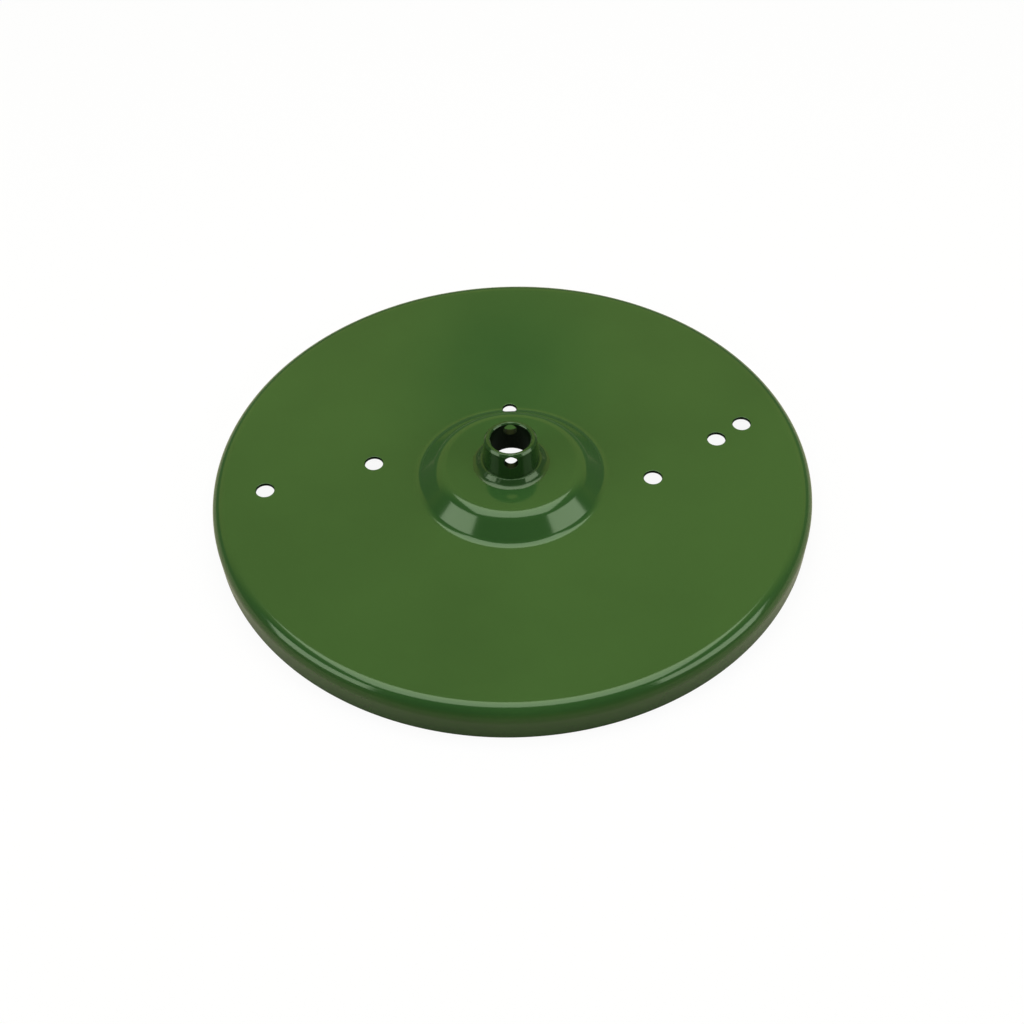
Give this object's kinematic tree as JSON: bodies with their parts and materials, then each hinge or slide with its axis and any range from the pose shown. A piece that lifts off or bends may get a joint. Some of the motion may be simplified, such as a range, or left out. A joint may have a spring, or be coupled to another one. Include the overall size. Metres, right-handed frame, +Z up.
{
  "type": "fertiliser spreader disc",
  "caption": "Shallow pressed steel spinning disc with a turned-down rim, a raised boss, a welded pin-drive hub and bolt holes for its vanes.",
  "frame": {"origin": "on the disc's axis, in the plane of the rim's lower edge", "axes": "+Z up through the hub; +Y towards the small hole at the root of the boss, along the drive pin's hole; +X to the side with three vane holes"},
  "size_m": [0.375, 0.375, 0.0572],
  "materials": {
    "green_paint": "glossy mid-green enamel over pressed steel",
    "hub_paint": "glossy mid-green enamel over turned steel, thin and dark inside the bore",
    "weld_paint": "glossy mid-green enamel over a weld bead"
  },
  "bodies": {
    "root": {"disc_pressing": "green_paint", "hub_sleeve": "hub_paint", "hub_weld": "weld_paint"}
  },
  "joints": []
}
